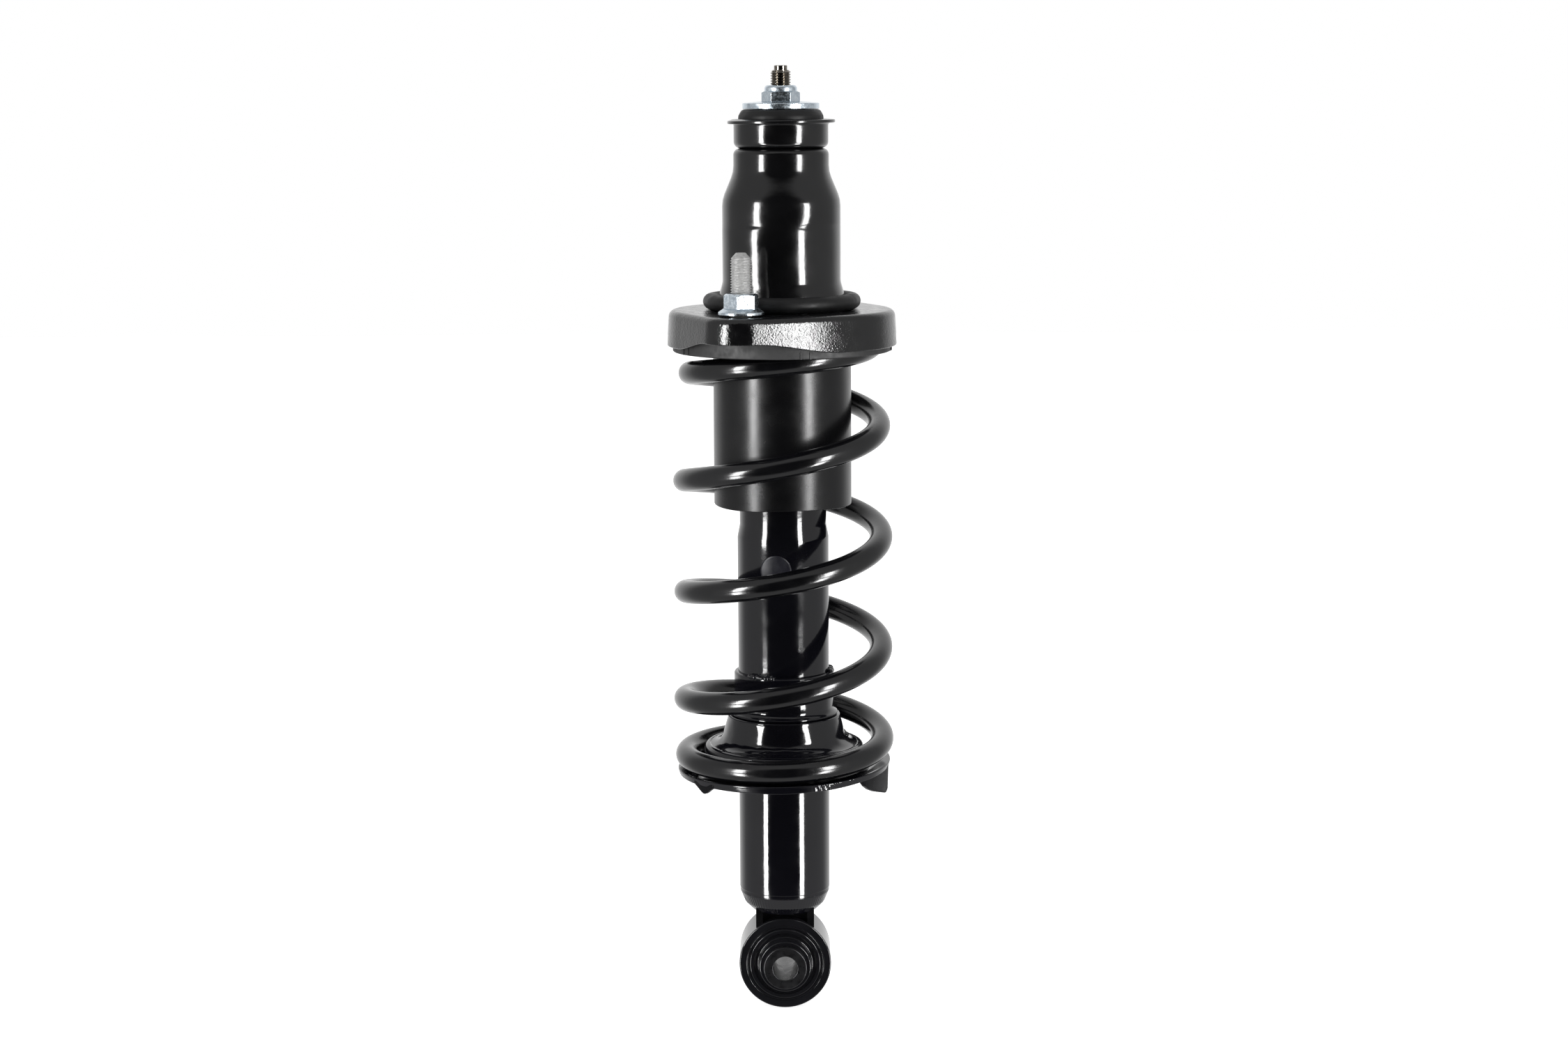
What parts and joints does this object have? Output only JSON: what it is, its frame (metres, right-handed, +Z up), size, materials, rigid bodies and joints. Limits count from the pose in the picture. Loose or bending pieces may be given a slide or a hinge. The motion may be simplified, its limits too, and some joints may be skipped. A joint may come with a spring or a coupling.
{
  "type": "suspension strut assembly",
  "caption": "Suspension strut: a coil spring round a telescopic damper, held by a studded tower mount at the top and a rubber-bushed eye at the foot.",
  "frame": {"origin": "centre of the stud circle on the upper mount's top face, on the strut's axis", "axes": "+Z up along the strut's axis, -Y towards the side with the front stud, the lower eye's bore along Y"},
  "size_m": [0.1122, 0.131, 0.4666],
  "materials": {
    "black_paint": "satin electrocoat on pressed steel",
    "damper_paint": "smooth black paint",
    "spring_paint": "black powder coat",
    "stud_zinc": "matt zinc plate",
    "bright_zinc": "bright zinc plate, slightly blue",
    "bare_steel": "machined steel",
    "chrome_rod": "hard chrome",
    "sintered_iron": "sintered",
    "black_rubber": "moulded rubber",
    "grey_rubber": "moulded rubber, slightly dusty",
    "foam": "cellular polyurethane",
    "seal_lip": "nitrile",
    "cover_plastic": "moulded, satin",
    "band_plastic": "filled PTFE",
    "disc_film": "plain printed film"
  },
  "bodies": {
    "mount": {"upper_spring_seat": "black_paint", "mount_tower": "black_paint", "mount_base_plate": "black_paint", "mount_cup": "black_paint", "mount_studs": "stud_zinc", "stud_nuts": "bright_zinc", "seal_ring": "black_rubber", "upper_bush": "black_rubber", "top_washer": "bright_zinc", "top_nut": "bright_zinc", "bush_spacer": "bare_steel", "lower_bush": "black_rubber", "lower_bush_washer": "bright_zinc", "bump_stop": "foam", "piston_rod": "chrome_rod", "rebound_bumper": "black_rubber", "rebound_ring": "bare_steel", "piston": "sintered_iron", "piston_band": "band_plastic", "valve_shims": "bare_steel", "piston_nut": "bare_steel", "dust_cover": "cover_plastic", "upper_spring_insulator": "grey_rubber", "coil_spring": "spring_paint"},
    "damper": {"damper_tube": "damper_paint", "bump_cap": "black_paint", "rod_seal": "seal_lip", "rod_guide": "sintered_iron", "inner_cylinder": "bare_steel", "base_valve": "sintered_iron", "bottom_cap": "damper_paint", "perch_collar": "black_paint", "lower_spring_perch": "black_paint", "perch_welds": "black_paint", "eye_neck": "black_paint", "eye_ring": "black_paint", "bush_outer_shell": "bare_steel", "bush_rubber": "black_rubber", "identity_disc": "disc_film"},
    "sleeve": {"bush_inner_sleeve": "bare_steel"}
  },
  "joints": [
    {"name": "damper_slide", "type": "slide", "parent": "mount", "child": "damper", "axis": [0, 0, 1], "range_m": [0, 0.098], "stiffness_N_per_m": 43000, "springref_m": -0.03, "deforming": ["coil_spring"]},
    {"name": "eye_twist", "type": "hinge", "parent": "damper", "child": "sleeve", "pos_m": [0, 0, -0.3262], "axis": [0, 1, 0], "range_deg": [-20, 20], "stiffness_Nm_per_rad": 40}
  ]
}
